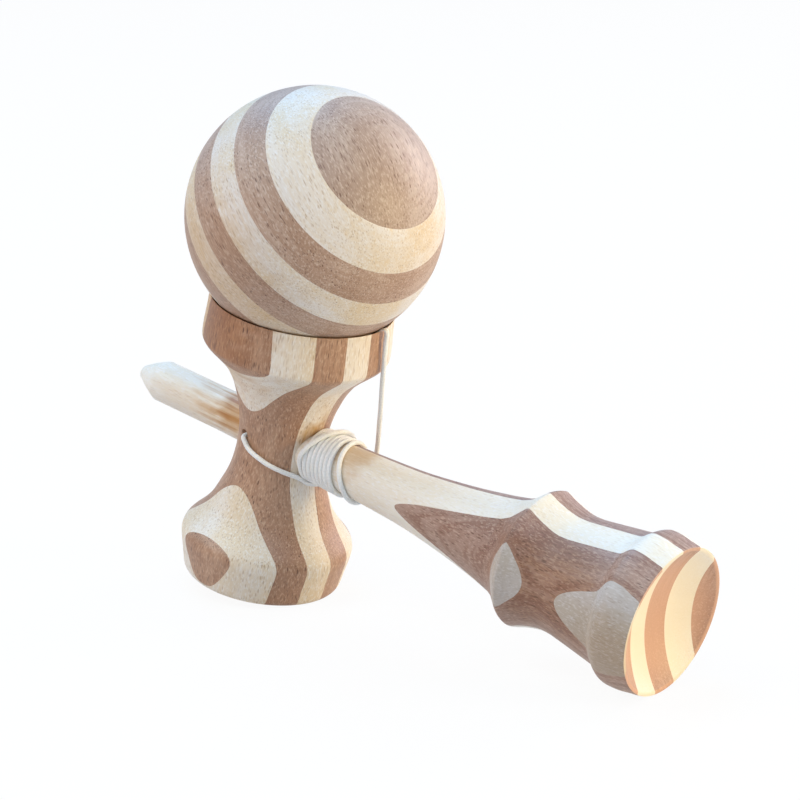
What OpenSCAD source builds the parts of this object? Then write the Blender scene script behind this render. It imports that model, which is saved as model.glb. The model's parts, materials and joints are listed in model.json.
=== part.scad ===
// A kendama: a ball, a cross piece with a big and a small cup, and a handle with a spike and a
// third cup at its base. All three are turned from boards of dark and light bamboo glued flat to
// each other, and one white string ties them together.
// Every part is drawn around the crossing of two axes: X runs along the handle towards the base
// cup, and Z runs up the cross piece towards the big cup and the ball. The whole toy is then
// leaned until it stands on the floor at z = 0 on the rims of the small cup and the base cup.

/* [Ball] */
// Diameter of the ball
ball_d = 60; // [57:0.5:64]
// Diameter of the hole that the spike enters
ball_hole_d = 18.4; // [13:0.2:22]
// Depth of that hole, measured from the ball's centre away from its mouth
ball_hole_floor = 15; // [9:0.5:18]
// Width of the bevel round the hole's mouth
ball_hole_bevel = 0.5; // [0.2:0.1:1.5]
// Diameter of the small hole that the string comes through
ball_string_hole_d = 2.1; // [1.8:0.1:3]
// Diameter of the narrower end of the spike's hole, where the bead lies
bead_room_d = 11.6; // [11.4:0.1:13]

/* [Bead] */
// Diameter of the bead that holds the string inside the ball
bead_d = 9; // [6:0.5:11]
// Diameter of the hole through the bead
bead_hole_d = 1.9; // [1.7:0.1:3]

/* [Cross piece] */
// Height of the big cup's rim above the handle's axis
big_rim_z = 34.3; // [32:0.1:34.4]
// Widest diameter of the big cup
big_cup_d = 44.3; // [43.6:0.1:46]
// How far the big cup's rim lies inside that diameter
big_taper = 0.45; // [0.25:0.05:1]
// Height of the corner under the big cup's wall
big_shoulder_z = 23.4; // [21:0.2:26]
// Depth of the big cup's hollow
big_hollow_depth = 14; // [12:0.5:15]
// Distance of the small cup's rim below the handle's axis
small_rim_z = 35.2; // [33:0.2:38]
// Widest diameter of the small cup
small_cup_d = 40.9; // [39:0.1:43]
// How far the small cup's rim lies inside that diameter
small_taper = 2.15; // [1.5:0.05:2.7]
// Distance of the small cup's widest ridge below the handle's axis
small_ridge_z = 25.5; // [23:0.5:28]
// Width of the small cup's lip round its hollow
small_lip = 2; // [1.5:0.1:4]
// Depth of the small cup's hollow
small_hollow_depth = 8; // [5:0.5:12]
// Diameter of the waist at the handle's axis
waist_d = 20.7; // [19:0.1:21.2]

/* [Handle] */
// Length of the spike from the cross piece's axis to its tip
spike_len = 44.7; // [36:0.5:60]
// Diameter of the spike
spike_d = 10; // [9:0.1:10.2]
// Diameter of the flat at the spike's tip
tip_d = 3.2; // [1:0.2:5]
// Length of the spike's cone
tip_len = 6.5; // [4:0.5:10]
// Diameter of the handle where it leaves the cross piece
seat_d = 11.1; // [10.8:0.1:11.5]
// Length of the handle from the cross piece's axis to the base cup's rim
handle_len = 113.85; // [111:0.05:118]
// Diameter of the swelling at the end of the grip
bulge_d = 32.8; // [30:0.2:36]
// Diameter of the handle just before the swelling
grip_d = 23.6; // [22:0.2:26]
// Length from the top of the swelling to the neck behind it
bulge_back_len = 9; // [7.5:0.5:12]
// Diameter of that neck
neck_d = 28; // [26:0.2:28.6]
// Length from that neck to the base cup's collar
neck_len = 16.5; // [14:0.5:20]
// Diameter of the handle in front of the collar
collar_root_d = 32.8; // [31:0.2:35]
// Widest diameter of the base cup
base_cup_d = 37; // [36:0.2:40]
// Length of the base cup from its collar to its rim
base_cup_len = 11.35; // [10:0.05:14]
// Diameter of the base cup's rim
base_rim_d = 35.3; // [34.4:0.1:36]
// Diameter of the base cup's hollow
base_hollow_d = 33.8; // [30:0.2:34.2]
// Depth of the base cup's hollow
base_hollow_depth = 6.2; // [5.4:0.1:9]

/* [String] */
// Diameter of the string
string_d = 1.15; // [1.1:0.05:1.2]
// Diameter of the hole in the cross piece that the string comes out of
cross_string_hole_d = 2.4; // [2:0.1:2.6]
// Number of turns that lie side by side on the handle
close_turns = 6; // [3:1:6]
// Distance from one of those turns to the next
turn_pitch = 1.2; // [1.2:0.05:1.3]

/* [Hidden] */
$fn = 96;

// Clearances and small sizes
fit_gap = 0.05;         // between the handle and its hole in the cross piece
ease = 0.15;            // between the string and the wood that it lies on
seat_gap = 0.3;         // between a loose piece and what carries it
ball_gap = 0.42;        // between the ball and the big cup, where the string squeezes in
ball_aside = 0.2;       // how far the string pushes the ball aside
turn_gap = 0.45;        // clear gap between neighbouring turns of the string
knot_d = 2.8;
pocket_d = 3.6;
lip_width = 0.1;        // flat top of the big cup's rim
slope_width = 1;        // slope inside that rim, where the ball sits
bulge_front_len = 7;    // from the end of the grip to the top of the swelling
seat_front = 14;        // where the fitted stretch of the handle ends, on the grip's side
seat_back = 12;         // where it starts, on the spike's side
knot_rise = 1.5;        // how far the string's first hole lies above the handle's axis
line_gap = 0.002;       // from the spike to the glue line in front of it
overrun = 1;            // how far every cut runs past the face that it opens

// Directions of the boards and of the ball's hole, in degrees
ball_board_tilt = 40.5;
ball_board_turn = -6;
ball_hole_tilt = 38.9;
ball_hole_turn = 125.7;
cross_board_turn = -97.5;
handle_slant = 1.26;
handle_board_turn = -90 - handle_slant;
string_hole_turn = -110;

// Thickness of one board as a share of the ball's, the waist's and the swelling's diameter
ball_board_share = 0.121667;
cross_board_share = 0.33574949;
handle_board_share = 0.207317;
// Glue lines, in board thicknesses from the axis towards the front board
ball_line_shares = [3.36, 2.36, 1.36, 0.36, -0.64, -1.64, -2.64, -3.64];
cross_line_shares = [1.7, 0.7, -0.3, -1.3];
handle_front_line_share = 1.86;
handle_back_line_shares = [-0.19, -1.19, -2.19];
// The first and the last glue line of the cross piece cut the cups alone: shares of their diameters
small_cup_line_shares = [0.4588029, -0.3908321];
big_cup_line_shares = [0.42359004, -0.36083596];

// Flank from the waist to the shoulder of the big cup: share of the height, share of the radius
big_flank_shares = [[0, 0], [0.17, 0.03], [0.34, 0.098], [0.47, 0.182], [0.6, 0.286],
    [0.725, 0.435], [0.81, 0.585], [0.895, 0.77], [0.96, 0.915], [1, 0.978]];
// The same from the waist to the ridge of the small cup
small_flank_shares = [[0, 0], [0.157, 0.015], [0.314, 0.074], [0.431, 0.158], [0.549, 0.277],
    [0.667, 0.406], [0.745, 0.525], [0.824, 0.685], [0.902, 0.871], [0.953, 0.963], [1, 1]];
// Wall of the big cup above its shoulder: share of the wall's height, share of its taper
big_wall_shares = [[0.04, 0.12], [0.11, 0], [0.3, 0.04], [0.6, 0.5], [0.93, 0.95], [1, 1.12]];
// Wall of the small cup below its ridge: share of the wall's height, share of its taper
small_wall_shares = [[0.06, -0.01], [0.2, 0.07], [0.55, 0.4], [0.86, 0.68], [0.95, 0.83], [1, 1]];
// Handle from its seat to the swelling: share of the length, share of the radius
flare_shares = [[0, 0], [0.25, 0.094], [0.46, 0.205], [0.6, 0.345], [0.75, 0.54], [0.89, 0.77],
    [0.96, 0.91], [1, 1]];
// Front of the swelling: share of its length, share of its height
bulge_front_shares = [[0.3, 0.21], [0.45, 0.37], [0.6, 0.56], [0.75, 0.75], [0.88, 0.92]];
// Back of the swelling down to the neck
bulge_back_shares = [[0, 0], [0.12, 0.15], [0.24, 0.34], [0.38, 0.52], [0.6, 0.75], [0.82, 0.93],
    [1, 1]];
// Neck to the collar
neck_shares = [[0.15, 0.05], [0.4, 0.31], [0.7, 0.64], [0.9, 0.86], [1, 1]];
// Collar of the base cup: share of its length to the rim, share of its height
collar_shares = [[0.06, 0.18], [0.15, 0.6], [0.24, 0.9], [0.33, 1.01], [0.48, 1]];
// From the collar's widest place to the rim: share of the length, share of the taper
base_wall_shares = [[0.6, 0.14], [0.8, 0.62], [0.94, 0.88], [1, 1.1]];

// Share of the step from the spike to the seat that lies behind the cross piece
root_share = 0.25;
ball_board = ball_board_share * ball_d;
cross_board = cross_board_share * waist_d;
handle_board = handle_board_share * bulge_d;
// The handle's second glue line runs just in front of the spike, all the way to its tip
spike_front = spike_d / 2 * cos(handle_slant) + spike_len * sin(handle_slant) + line_gap;
ball_lines = ball_board * ball_line_shares;
cross_lines = cross_board * cross_line_shares;
small_cup_lines = concat([small_cup_d * small_cup_line_shares[0]], cross_lines,
    [small_cup_d * small_cup_line_shares[1]]);
big_cup_lines = concat([big_cup_d * big_cup_line_shares[0]], cross_lines,
    [big_cup_d * big_cup_line_shares[1]]);
handle_lines = concat([handle_board * handle_front_line_share, spike_front],
    handle_board * handle_back_line_shares);
// Thickness of the spike halfway up its cone, as a share of the mean of its two ends
cone_share = 1.04;
collar_x = handle_len - base_cup_len;
neck_x = collar_x - neck_len;
bulge_x = neck_x - bulge_back_len;
grip_end_x = bulge_x - bulge_front_len;
spike_root_d = spike_d + root_share * (seat_d - spike_d);
hole_dir = direction(ball_hole_tilt, ball_hole_turn);
big_rim_d = big_cup_d - 2 * big_taper;
small_rim_d = small_cup_d - 2 * small_taper;
small_hollow_d = small_rim_d - 2 * small_lip;
seat_top_r = big_rim_d / 2 - lip_width;
big_hollow_r = seat_top_r - slope_width;
// The ball sits where the slope inside the big cup's rim touches it
sitting_r = ball_d / 2 + ball_gap;
contact_r = min(max(sitting_r / sqrt(2), big_hollow_r), seat_top_r);
ball_z = big_rim_z - seat_top_r + contact_r + sqrt(sitting_r * sitting_r - contact_r * contact_r);
ball_centre = [-ball_aside, 0, ball_z];
mouth_d = ball_hole_d + 2 * ball_hole_bevel;
mouth_z = sqrt(ball_d * ball_d - mouth_d * mouth_d) / 2;
bead_z = bead_d / 2 + seat_gap - ball_hole_floor;
end_knot_z = bead_z + bead_d / 2 + knot_d / 2;
bead_room_z = end_knot_z + knot_d / 2 + 2 * seat_gap;
knot_r = spike_root_d / 2 + knot_d / 2 + 2 * seat_gap;
base_bowl_r = (base_hollow_d * base_hollow_d / 4 + base_hollow_depth * base_hollow_depth)
    / (2 * base_hollow_depth);
tube_d = string_d - turn_gap;
all_r = handle_len;

function direction(tilt, turn) = [sin(tilt) * cos(turn), sin(tilt) * sin(turn), cos(tilt)];
function unit(v) = v / norm(v);

// A smooth curve through the points, with so many steps between two of them
function curve_at(a, b, c, d, t) = 0.5 * (2 * b + (c - a) * t + (2 * a - 5 * b + 4 * c - d) * t * t
    + (3 * b - a - 3 * c + d) * t * t * t);
function curve(p, steps) = [for (i = [0 : len(p) - 2], k = [0 : steps - 1])
    curve_at(p[max(i - 1, 0)], p[i], p[i + 1], p[min(i + 2, len(p) - 1)], k / steps),
    p[len(p) - 1]];

// Outline stretch: shares laid between two places of the axis and two radii
function stretch(shares, from_z, to_z, from_r, to_r) = [for (s = shares)
    [from_r + s[1] * (to_r - from_r), from_z + s[0] * (to_z - from_z)]];

// Outlines as [radius, place along the axis], from the lower end to the upper
small_flank = curve(stretch(small_flank_shares, 0, -small_ridge_z, waist_d / 2, small_cup_d / 2), 3);
big_flank = curve(stretch(big_flank_shares, 0, big_shoulder_z, waist_d / 2, big_cup_d / 2), 3);
small_wall = curve(stretch(small_wall_shares, -small_ridge_z, -small_rim_z,
    small_cup_d / 2, small_rim_d / 2), 2);
big_wall = curve(stretch(big_wall_shares, big_shoulder_z, big_rim_z, big_cup_d / 2, big_rim_d / 2), 2);
function reversed(p) = [for (i = [len(p) - 1 : -1 : 0]) p[i]];
function tail(p) = [for (i = [1 : len(p) - 1]) p[i]];
cross_outline = concat(reversed(small_wall), reversed(small_flank), tail(big_flank), big_wall);

tip_side = [[tip_d / 2, -spike_len],
    [cone_share * (tip_d + spike_d) / 4, tip_len / 2 - spike_len],
    [spike_d / 2, tip_len - spike_len], [spike_d / 2, -seat_back - tip_len]];
seat_side = [[spike_root_d / 2, -seat_back], [seat_d / 2, seat_front]];
flare = curve(stretch(flare_shares, seat_front, grip_end_x, seat_d / 2, grip_d / 2), 3);
bulge_front = curve(concat([[grip_d / 2, grip_end_x]],
    stretch(bulge_front_shares, grip_end_x, bulge_x, grip_d / 2, bulge_d / 2),
    [[bulge_d / 2, bulge_x]]), 3);
bulge_back = curve(stretch(bulge_back_shares, bulge_x, neck_x, bulge_d / 2, neck_d / 2), 3);
neck = curve(stretch(neck_shares, neck_x, collar_x, neck_d / 2, collar_root_d / 2), 2);
collar = curve(stretch(collar_shares, collar_x, handle_len, collar_root_d / 2, base_cup_d / 2), 2);
base_wall = curve(stretch(base_wall_shares, collar_x, handle_len, base_cup_d / 2, base_rim_d / 2), 2);
handle_outline = concat(tip_side, seat_side, tail(flare), tail(bulge_front), tail(bulge_back),
    neck, collar, base_wall);

// Radius of the handle at a place along it
handle_radii = [for (p = handle_outline) [p[1], p[0]]];
function handle_r(x) = lookup(x, handle_radii);

// Lean at which both rims stand on the floor, found by halving an interval of angles
steepest_lean = 30;
halvings = 40;
function foot_low(a) = min([for (p = cross_outline) p[1] * cos(a) - p[0] * sin(a)]);
function base_low(a) = min([for (p = handle_outline) -p[1] * sin(a) - p[0] * cos(a)]);
function lean_in(low, high, rounds) = rounds == 0 ? (low + high) / 2
    : foot_low((low + high) / 2) < base_low((low + high) / 2)
    ? lean_in((low + high) / 2, high, rounds - 1)
    : lean_in(low, (low + high) / 2, rounds - 1);
lean = lean_in(0, steepest_lean, halvings);
back_x = min([for (p = handle_outline) p[1] * cos(lean) - p[0] * sin(lean)]);
front_x = max([for (p = handle_outline) p[1] * cos(lean) + p[0] * sin(lean)]);
shift = [-(back_x + front_x) / 2, 0, -foot_low(lean)];

// Stands the toy on the floor, with its middle over the origin
module stand() { translate(shift) rotate([0, lean, 0]) children(); }

// Places children along the ball's hole, with their z towards its mouth
module in_ball() { translate(ball_centre) rotate([0, ball_hole_tilt, ball_hole_turn]) children(); }

// The space between two glue lines
module board(tilt, turn, lines, i) {
    low = i == len(lines) ? -all_r : lines[i];
    high = i == 0 ? all_r : lines[i - 1];
    rotate([0, tilt, turn]) translate([-all_r, -all_r, low])
        cube([2 * all_r, 2 * all_r, high - low]);
}

// A round hollow with an elliptical section, open upwards at z = 0, under a slope of 45 degrees
module hollow(r, depth, slope) {
    steps = 12;
    arc = [for (i = [0 : steps]) [r * cos(90 * i / steps), -depth * sin(90 * i / steps)]];
    top = slope == 0 ? overrun : slope;
    rotate_extrude() polygon(concat([[0, top], [r + slope, top]], arc));
}

module turned(outline) {
    rotate_extrude() polygon(concat([[0, outline[0][1]]], outline,
        [[0, outline[len(outline) - 1][1]]]));
}

// The ball

module ball_body() {
    difference() {
        translate(ball_centre) rotate([0, ball_board_tilt, ball_board_turn]) sphere(d = ball_d);
        in_ball() translate([0, 0, -ball_hole_floor]) cylinder(d = bead_room_d, h = ball_d);
        in_ball() translate([0, 0, bead_room_z]) cylinder(d = ball_hole_d, h = ball_d);
        in_ball() translate([0, 0, mouth_z - ball_hole_bevel]) cylinder(
            d1 = ball_hole_d, d2 = mouth_d + 2 * overrun, h = ball_hole_bevel + overrun);
        in_ball() translate([0, 0, -ball_d]) cylinder(d = ball_string_hole_d, h = ball_d);
    }
}

module ball_layer(i) {
    stand() color(shade(i)) intersection() {
        ball_body();
        translate(ball_centre)
            board(ball_board_tilt, ball_board_turn, ball_lines, i);
    }
}

module bead() {
    stand() color("peru") in_ball() translate([0, 0, bead_z]) difference() {
        sphere(d = bead_d);
        cylinder(d = bead_hole_d, h = 2 * bead_d, center = true);
    }
}

// The cross piece

module cross_body() {
    difference() {
        turned(cross_outline);
        translate([0, 0, big_rim_z - slope_width])
            hollow(big_hollow_r, big_hollow_depth, slope_width + fit_gap);
        translate([0, 0, -small_rim_z]) mirror([0, 0, 1])
            hollow(small_hollow_d / 2, small_hollow_depth, 0);
        handle_hole();
        string_hole();
    }
}

// Tapered hole that the handle is pushed into
module handle_hole() {
    rotate([0, 90, 0]) translate([0, 0, -seat_back]) cylinder(
        r1 = spike_root_d / 2 + fit_gap, r2 = seat_d / 2 + fit_gap, h = seat_front + seat_back);
}

// Small hole at the front of the waist, with a pocket for the knot at the handle's side
module string_hole() {
    translate([0, 0, knot_rise]) rotate([0, 0, string_hole_turn]) {
        translate([knot_r, 0, 0]) sphere(d = pocket_d);
        translate([knot_r, 0, 0]) rotate([0, 90, 0]) cylinder(d = cross_string_hole_d, h = waist_d);
    }
}

// These boards run through the waist from cup to cup
module cross_layer(i) {
    stand() color(shade(i)) intersection() {
        cross_body();
        board(90, cross_board_turn, small_cup_lines, i);
    }
}

// The last of them ends at the outer board of each cup
module last_cross_layer(i) {
    back_line = min(small_cup_lines[i], big_cup_lines[i]);
    stand() color(shade(i)) difference() {
        intersection() {
            cross_body();
            board(90, cross_board_turn, concat(cross_lines, [back_line]), i - 1);
        }
        cup_board(i + 1, true);
        cup_board(i + 1, false);
    }
}

// Space of board i on the big cup's half or on the small cup's half
module cup_board(i, up) {
    intersection() {
        board(90, cross_board_turn, up ? big_cup_lines : small_cup_lines, i);
        translate([-all_r, -all_r, up ? 0 : -2 * all_r]) cube(2 * all_r);
    }
}

// The outer boards are turned through at the waist, which leaves one piece on each cup
module cup_side(i, up) {
    stand() color(shade(i)) intersection() {
        cross_body();
        cup_board(i, up);
    }
}

// The handle

module handle_body() {
    rotate([0, 90, 0]) difference() {
        turned(handle_outline);
        translate([0, 0, handle_len + base_bowl_r - base_hollow_depth]) sphere(r = base_bowl_r);
    }
}

module handle_layer(i) {
    stand() color(shade(i + 1)) intersection() {
        handle_body();
        board(90, handle_board_turn, handle_lines, i);
    }
}

// The front board is turned through at the neck, which leaves two islands
module handle_island(on_cup) {
    stand() color(shade(1)) intersection() {
        handle_body();
        board(90, handle_board_turn, handle_lines, 0);
        translate([on_cup ? neck_x : -all_r, -all_r, -all_r])
            cube([on_cup ? all_r : all_r + neck_x, 2 * all_r, 2 * all_r]);
    }
}

// Boards alternate between dark and light
function shade(i) = i % 2 == 0 ? [0.68, 0.53, 0.44] : [0.89, 0.85, 0.74];

// The string

// Unit of length in which the string's points are written, in millimetres
point_unit = 1;
// Path of its first stretch: out of its hole, across the waist and to the handle's underside
waist_path = point_unit * [[-2.94, -8.08, 1.5], [-3.28, -9.02, 1.5], [-3.4, -9.9, 1.4],
    [-3.1, -10.6, 1.1], [-2.3, -10.9, 0.5], [-1.45, -10.95, -0.35], [-0.3, -11.05, -1],
    [1.2, -11, -1.55], [2.8, -10.75, -2.1], [4.4, -10.2, -2.75], [5.85, -9.5, -3.25],
    [7.35, -8.4, -3.85], [8.3, -7.5, -4.25], [9.2, -6.5, -4.65], [10.1, -5.2, -5.2],
    [10.7, -4.3, -5.7], [11.1, -3.6, -6.2]];
// Path from the winding up behind the handle to the big cup's rim
riser_path = point_unit * [[22.9, 6.9, 1], [22.9, 6.9, 3], [22.9, 6.6, 7], [22.8, 6.2, 11],
    [22.8, 5.8, 14.5], [22.8, 5.3, 18], [22.8, 4.8, 21.5], [22.8, 4.4, 25], [22.8, 4, 28],
    [22.8, 3.6, 31], [22.8, 3.5, 32], [22.8, 3.5, 32.8]];
// Path over the rim, round the hollow under the ball and towards the ball's small hole
rim_path = point_unit * [[22.8, 3.5, 32.8], [22.8, 3.5, 33.6], [22.7, 3.4, 34.5], [22.3, 3.3, 35],
    [21.75, 3.2, 34.8], [21.2, 3.1, 34.5], [20.7, 3.02, 34], [20.2, 2.95, 33.5],
    [19.6, 2.8, 32.7], [18.9, 2.2, 31.7], [18.3, 0.8, 30.8], [18, -1.2, 30.2],
    [17.5, -3.7, 29.7], [16.6, -6.3, 29.3], [15.5, -8.8, 29.1], [14.3, -11.1, 29.1],
    [13.5, -12.5, 29.2], [12.9, -13.3, 29.5]];
// Thickness and width of the string there: it is pinched flat between the ball and the rim
rim_flat_shares = [[1, 1], [1, 1], [0.9, 1.1], [0.55, 1.3], [0.35, 1.5], [0.26, 1.5], [0.26, 1.5],
    [0.26, 1.5], [0.35, 1.4], [0.8, 1.1], [1, 1], [1, 1], [1, 1], [1, 1], [1, 1], [1, 1], [1, 1],
    [1, 1]];
// Last stretch: it bends into the ball's small hole and runs up through the bead to its knot
entry_path = point_unit * [[12.9, -13.3, 29.5], [12.3, -14.1, 29.8], [11.8, -14.9, 30.5],
    [11.3, -15.5, 31.4]];
entry_steps = 9;
last_path = concat(entry_path, [for (k = [0 : entry_steps]) ball_centre
    + (k / entry_steps * (end_knot_z - knot_d / 2 - fit_gap) - (1 - k / entry_steps) * ball_d / 2)
    * hole_dir]);

// The winding, by turns. It starts under the handle, where angle 0 is the front and 90 the top.
start_angle = -60;
first_turns = 1.833;            // where the turns begin to lie side by side
wide_turns = first_turns + close_turns;
all_turns = wide_turns + 1.5;
coil_x = 12.3;
turn_lean = 1;                  // how far the last turns lean towards the cross piece at the top
loop_rings = 24;
evening = 0.05;                 // share of a turn over which the places are evened out
// Places along the handle of the first, crossing turn, and of the last, wide one past the rest
first_places = [[0, 11.1], [0.08, 12.2], [0.2, 14.4], [0.33, 16.2], [0.46, 16.8], [0.58, 16.1],
    [0.63, 15.2], [0.67, 14.3], [0.71, 13.4], [0.75, 12.4], [0.79, 11.4], [0.82, 10.95],
    [0.88, 10.95], [1, 11.1], [1.2, 11.45], [1.4, 11.78]];
wide_places = [[0, 0], [0.25, 0.3], [0.5, 0.8], [0.75, 1.7], [0.87, 2], [0.95, 2.8], [1, 3.4],
    [1.08, 4.4], [1.25, 4.6], [1.5, 2.9]];
// How far the first turn stands off the turns that it crosses, in string diameters
lift_shares = [[0, 1], [0.77, 1], [0.79, 0.95], [0.84, 0.4], [0.88, 0]];
function turn_a(t) = start_angle - 360 * t;
function lean_share(t) = min(max(t - first_turns, 0), close_turns) / close_turns;
function turn_x(t) = t < first_places[len(first_places) - 1][0]
    ? point_unit * lookup(t, first_places)
    : coil_x + (min(t, wide_turns) - first_turns) * turn_pitch
        + point_unit * lookup(max(t - wide_turns, 0), wide_places)
        + lean_share(t) * turn_lean * (0.5 - sin(turn_a(t)));
function even_x(t) = (turn_x(t - evening) + turn_x(t) + turn_x(t + evening)) / 3;
function turn_r(t) = handle_r(even_x(t)) + tube_d / 2 + ease + lookup(t, lift_shares) * string_d;
function turn_point(t) = let (a = turn_a(t), r = turn_r(t)) [even_x(t), -r * cos(a), r * sin(a)];
last_ring = floor(loop_rings * all_turns);
waist_end = waist_path[len(waist_path) - 1];
winding_path = concat([waist_end, waist_end + tube_d * unit(waist_end
    - waist_path[len(waist_path) - 2])], [for (i = [1 : last_ring]) turn_point(i / loop_rings)],
    [riser_path[0] - [0, 0, tube_d], riser_path[0]]);

// Least gap between stretches of the winding that are at least a third of a turn apart
apart = loop_rings / 3;
winding_gap = min([for (i = [0 : len(winding_path) - apart - 1], j = [i + apart : len(winding_path) - 1])
    norm(winding_path[i] - winding_path[j])]) - tube_d;
function path_length(p) = len(p) < 2 ? 0
    : [for (i = 1, s = norm(p[1] - p[0]); i < len(p); i = i + 1,
        s = s + (i < len(p) ? norm(p[i] - p[i - 1]) : 0)) s][len(p) - 2];
string_length = path_length(waist_path) + path_length(winding_path) + path_length(riser_path)
    + path_length(rim_path) + path_length(last_path);
echo(least_gap_in_winding = winding_gap);
echo(string_length = string_length, lean = lean, shift = shift);

// Directions of a path's rings, and a side direction carried along it without twist
function ring_dirs(p) = [for (i = [0 : len(p) - 1])
    unit(p[min(i + 1, len(p) - 1)] - p[max(i - 1, 0)])];
function level(n, t) = unit(n - (n * t) * t);
function ring_sides(dirs, first) = [for (i = 0, n = level(first, dirs[0]); i < len(dirs);
    i = i + 1, n = level(n, dirs[min(i, len(dirs) - 1)])) n];

// One closed tube along a path; flats holds a thickness and a width share for every ring
module tube(path, d, sides, first_side, flats = []) {
    dirs = ring_dirs(path);
    n = ring_sides(dirs, first_side);
    count = len(path);
    points = [for (i = [0 : count - 1], k = [0 : sides - 1])
        let (a = 360 * k / sides, b = cross(dirs[i], n[i]), f = len(flats) == 0 ? [1, 1] : flats[i])
        path[i] + d / 2 * (f[0] * cos(a) * n[i] + f[1] * sin(a) * b)];
    walls = [for (i = [0 : count - 2], k = [0 : sides - 1])
        let (a = i * sides + k, b = i * sides + (k + 1) % sides)
        each [[a, a + sides, b], [b, a + sides, b + sides]]];
    near = [for (k = [1 : sides - 2]) [0, k, k + 1]];
    last = (count - 1) * sides;
    far = [for (k = [1 : sides - 2]) [last, last + k + 1, last + k]];
    polyhedron(points = points, faces = concat(walls, near, far), convexity = 10);
}

module string_waist() { stand() color("white") tube(waist_path, string_d, 8, [0, 0, 1]); }

module string_winding() {
    stand() color("white") tube(winding_path, tube_d, 6, winding_path[0] - [winding_path[0][0], 0, 0]);
}

module string_riser() { stand() color("white") tube(riser_path, string_d, 8, [1, 0, 0]); }

module string_rim() {
    stand() color("white")
        tube(rim_path, string_d, 8, rim_path[0] - ball_centre, rim_flat_shares);
}

module string_last() { stand() color("white") tube(last_path, string_d, 8, [0, 0, 1]); }

module start_knot() {
    stand() color("white") translate([0, 0, knot_rise]) rotate([0, 0, string_hole_turn])
        translate([knot_r, 0, 0]) sphere(d = knot_d);
}

module end_knot() {
    stand() color("white") in_ball() translate([0, 0, end_knot_z]) sphere(d = knot_d);
}

for (i = [0 : 8]) ball_layer(i);
for (i = [0, 1, 6]) cup_side(i, true);
for (i = [2 : 4]) cross_layer(i);
last_cross_layer(5);  // cross_layer_6
for (i = [0, 1, 6]) cup_side(i, false);
handle_island(false);  // handle_island_grip
handle_island(true);  // handle_island_cup
for (i = [1 : 5]) handle_layer(i);
bead();
start_knot();  // string_start_knot
end_knot();  // string_end_knot
string_waist();
string_winding();
string_riser();
string_rim();
string_last();
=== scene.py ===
"""A laminated bamboo kendama, leaning on the rims of its small cup and its base cup."""
import json
import math
import random

import bmesh
import bpy
import numpy as np
from mathutils import Matrix, Vector


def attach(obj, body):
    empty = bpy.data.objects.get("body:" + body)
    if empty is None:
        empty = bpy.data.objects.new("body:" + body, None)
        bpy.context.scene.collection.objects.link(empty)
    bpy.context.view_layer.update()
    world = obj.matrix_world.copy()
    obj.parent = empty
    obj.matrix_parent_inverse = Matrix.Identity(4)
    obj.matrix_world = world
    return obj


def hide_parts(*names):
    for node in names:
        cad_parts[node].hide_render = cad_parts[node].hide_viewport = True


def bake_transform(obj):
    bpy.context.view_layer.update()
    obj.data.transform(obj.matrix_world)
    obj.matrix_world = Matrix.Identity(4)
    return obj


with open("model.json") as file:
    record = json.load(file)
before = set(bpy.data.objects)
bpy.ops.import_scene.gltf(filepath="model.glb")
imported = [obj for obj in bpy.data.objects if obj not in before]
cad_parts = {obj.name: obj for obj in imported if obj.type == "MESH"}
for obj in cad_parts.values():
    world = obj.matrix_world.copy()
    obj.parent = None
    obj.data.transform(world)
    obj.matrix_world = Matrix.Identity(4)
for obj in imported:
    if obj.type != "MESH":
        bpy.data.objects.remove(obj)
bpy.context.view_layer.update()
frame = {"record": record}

# Lengths below are millimetres in the toy's own frame: X along the handle towards the base cup,
# Z up the cross piece towards the ball, with the two axes crossing at the origin
MM = 0.001
HANDLE_LEN = 113.85
BASE_LIP_R = 17.2
base_rim = next(m for m in frame["record"]["mounts"] if m["name"] == "base_rim")
lean = math.atan2(-base_rim["axis"][2], base_rim["axis"][0])
tilt = Matrix.Rotation(lean, 4, "Y")
crossing = Vector(base_rim["pos_m"]) - tilt @ Vector((HANDLE_LEN, 0, BASE_LIP_R)) * MM
TO_ROW = Matrix.Translation(crossing) @ tilt @ Matrix.Scale(MM, 4)


def row_point(p):
    """A point of the toy's own frame, in the row frame."""
    return TO_ROW @ Vector(p)


# Camera: place, the point that it looks at and its roll, found from the photograph
FRAME_PX = 800
CAMERA_FOCAL_PX = 3500
CAMERA_AT = Vector((0.4795, -0.6012, 0.2714))
CAMERA_AIM = Vector((-0.01535, 0.01917, 0.04659))
CAMERA_ROLL = math.radians(0.586)
SENSOR_WIDTH = 36
CAMERA_REACH = 20


def make_camera():
    camera = bpy.data.objects.new("camera", bpy.data.cameras.new("camera"))
    bpy.context.scene.collection.objects.link(camera)
    camera.data.sensor_fit = "HORIZONTAL"
    camera.data.sensor_width = SENSOR_WIDTH
    camera.data.lens = SENSOR_WIDTH * CAMERA_FOCAL_PX / FRAME_PX
    camera.data.clip_end = CAMERA_REACH
    forward = (CAMERA_AIM - CAMERA_AT).normalized()
    aimed = forward.to_track_quat("-Z", "Y").to_matrix().to_4x4()
    placed = Matrix.Translation(CAMERA_AT) @ aimed
    camera.matrix_world = placed @ Matrix.Rotation(CAMERA_ROLL, 4, "Z")
    bpy.context.scene.camera = camera


make_camera()

# Sizes of the ball
BALL_R = 30
BALL_HOLE_R = 9.2
BALL_HOLE_FLOOR = -15
BALL_HOLE_BEVEL = 0.5
BALL_STRING_HOLE_R = 1.05
BEAD_ROOM_R = 5.8
BALL_HOLE_TILT = math.radians(38.9)
BALL_HOLE_TURN = math.radians(125.7)
BALL_GAP = 0.42
BALL_ASIDE = 0.2
BEAD_R = 4.5
BEAD_HOLE_R = 0.95
BEAD_EDGE = 0.35
BEAD_GAP = 0.3
KNOT_R = 1.4

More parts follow.
